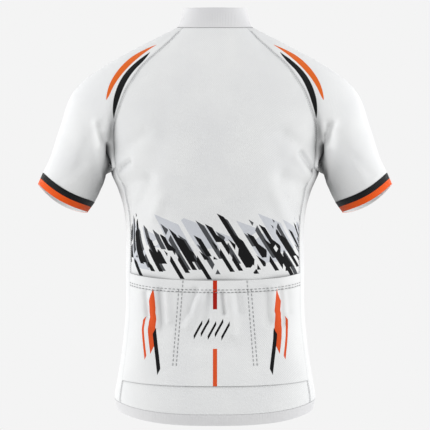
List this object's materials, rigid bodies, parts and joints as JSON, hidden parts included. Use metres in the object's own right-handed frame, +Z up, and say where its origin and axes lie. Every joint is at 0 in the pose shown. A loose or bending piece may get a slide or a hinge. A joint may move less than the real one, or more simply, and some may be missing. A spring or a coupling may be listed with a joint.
{
  "type": "short-sleeved raglan cycling jersey",
  "caption": "Short-sleeved cycling jersey with raglan sleeves, stand collar, full front zip, rear pockets and gripper hem, filled out as worn.",
  "frame": {"origin": "middle of the neck opening, level with the collar seam at the centre back, where the wearer's neck and shoulders hold the jersey", "axes": "+Z up, front of the garment towards -Y, wearer's left towards +X"},
  "size_m": [0.614, 0.2268, 0.7142],
  "materials": {
    "knit_white": "matte micro-mesh polyester knit with a slight sheen",
    "rib_white": "matte elastic knit",
    "cuff_elastic": "matte elastic band, black over orange",
    "zip_tape": "woven tape with moulded coil",
    "zip_metal": "satin die cast zinc"
  },
  "bodies": {
    "garment": {"back_panel": "knit_white", "front_left": "knit_white", "front_right": "knit_white", "sleeve_left": "knit_white", "sleeve_right": "knit_white", "cuff_band_left": "cuff_elastic", "cuff_band_right": "cuff_elastic", "collar": "rib_white", "pocket_panel": "knit_white", "pocket_band": "rib_white", "hem_band": "rib_white", "front_zip": "zip_tape", "zip_slider": "zip_metal"},
    "pull": {"zip_pull": "zip_metal"}
  },
  "joints": [
    {"name": "zip_pull_hinge", "type": "hinge", "parent": "garment", "child": "pull", "pos_m": [0, -0.0649, -0.00894], "axis": [-1, 0, 0], "range_deg": [0, 160]}
  ]
}
